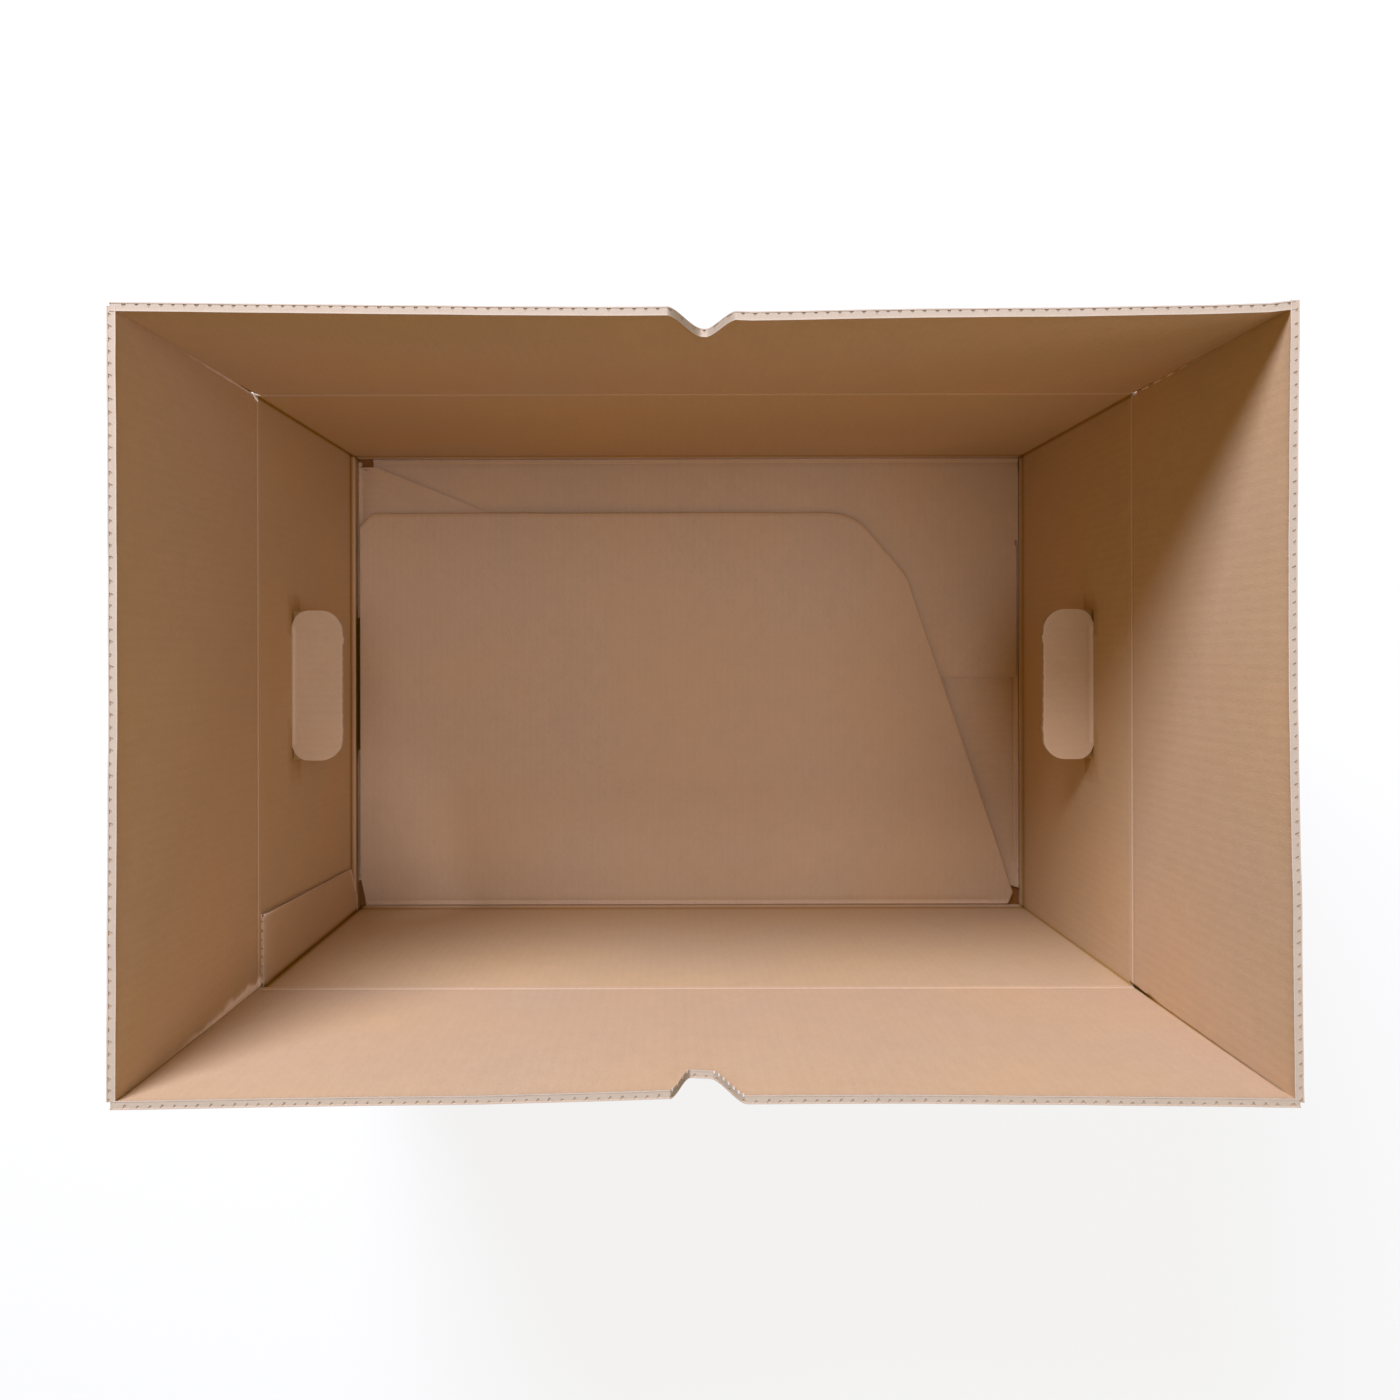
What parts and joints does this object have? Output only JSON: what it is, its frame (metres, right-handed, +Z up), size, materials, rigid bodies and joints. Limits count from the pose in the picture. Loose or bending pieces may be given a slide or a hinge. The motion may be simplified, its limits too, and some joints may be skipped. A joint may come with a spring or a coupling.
{
  "type": "moving box",
  "caption": "Open corrugated moving carton with standing top flaps, finger notches, hand holes with folded-in tongues and an interlocking bottom.",
  "frame": {"origin": "centre of the underside of the bottom, on the floor that the carton stands on", "axes": "+X along the carton's length, towards the short wall on the right of the picture; +Y across it, towards the long wall at the top of the picture; +Z up, out of the open top"},
  "size_m": [0.6, 0.408, 0.4652],
  "materials": {
    "kraft_board": "matte"
  },
  "bodies": {
    "carton": {"carton_body": "kraft_board"},
    "flap_front": {"front_flap": "kraft_board"},
    "flap_back": {"back_flap": "kraft_board"},
    "flap_left": {"left_flap": "kraft_board"},
    "flap_right": {"right_flap": "kraft_board"}
  },
  "joints": [
    {"name": "front_crease", "type": "hinge", "parent": "carton", "child": "flap_front", "pos_m": [0, -0.2042, 0.262], "axis": [1, 0, 0], "range_deg": [-90, 180]},
    {"name": "back_crease", "type": "hinge", "parent": "carton", "child": "flap_back", "pos_m": [0, 0.2042, 0.262], "axis": [-1, 0, 0], "range_deg": [-90, 180]},
    {"name": "left_crease", "type": "hinge", "parent": "carton", "child": "flap_left", "pos_m": [-0.3002, 0, 0.2582], "axis": [0, -1, 0], "range_deg": [-90, 180]},
    {"name": "right_crease", "type": "hinge", "parent": "carton", "child": "flap_right", "pos_m": [0.3002, 0, 0.2582], "axis": [0, 1, 0], "range_deg": [-90, 180]}
  ]
}
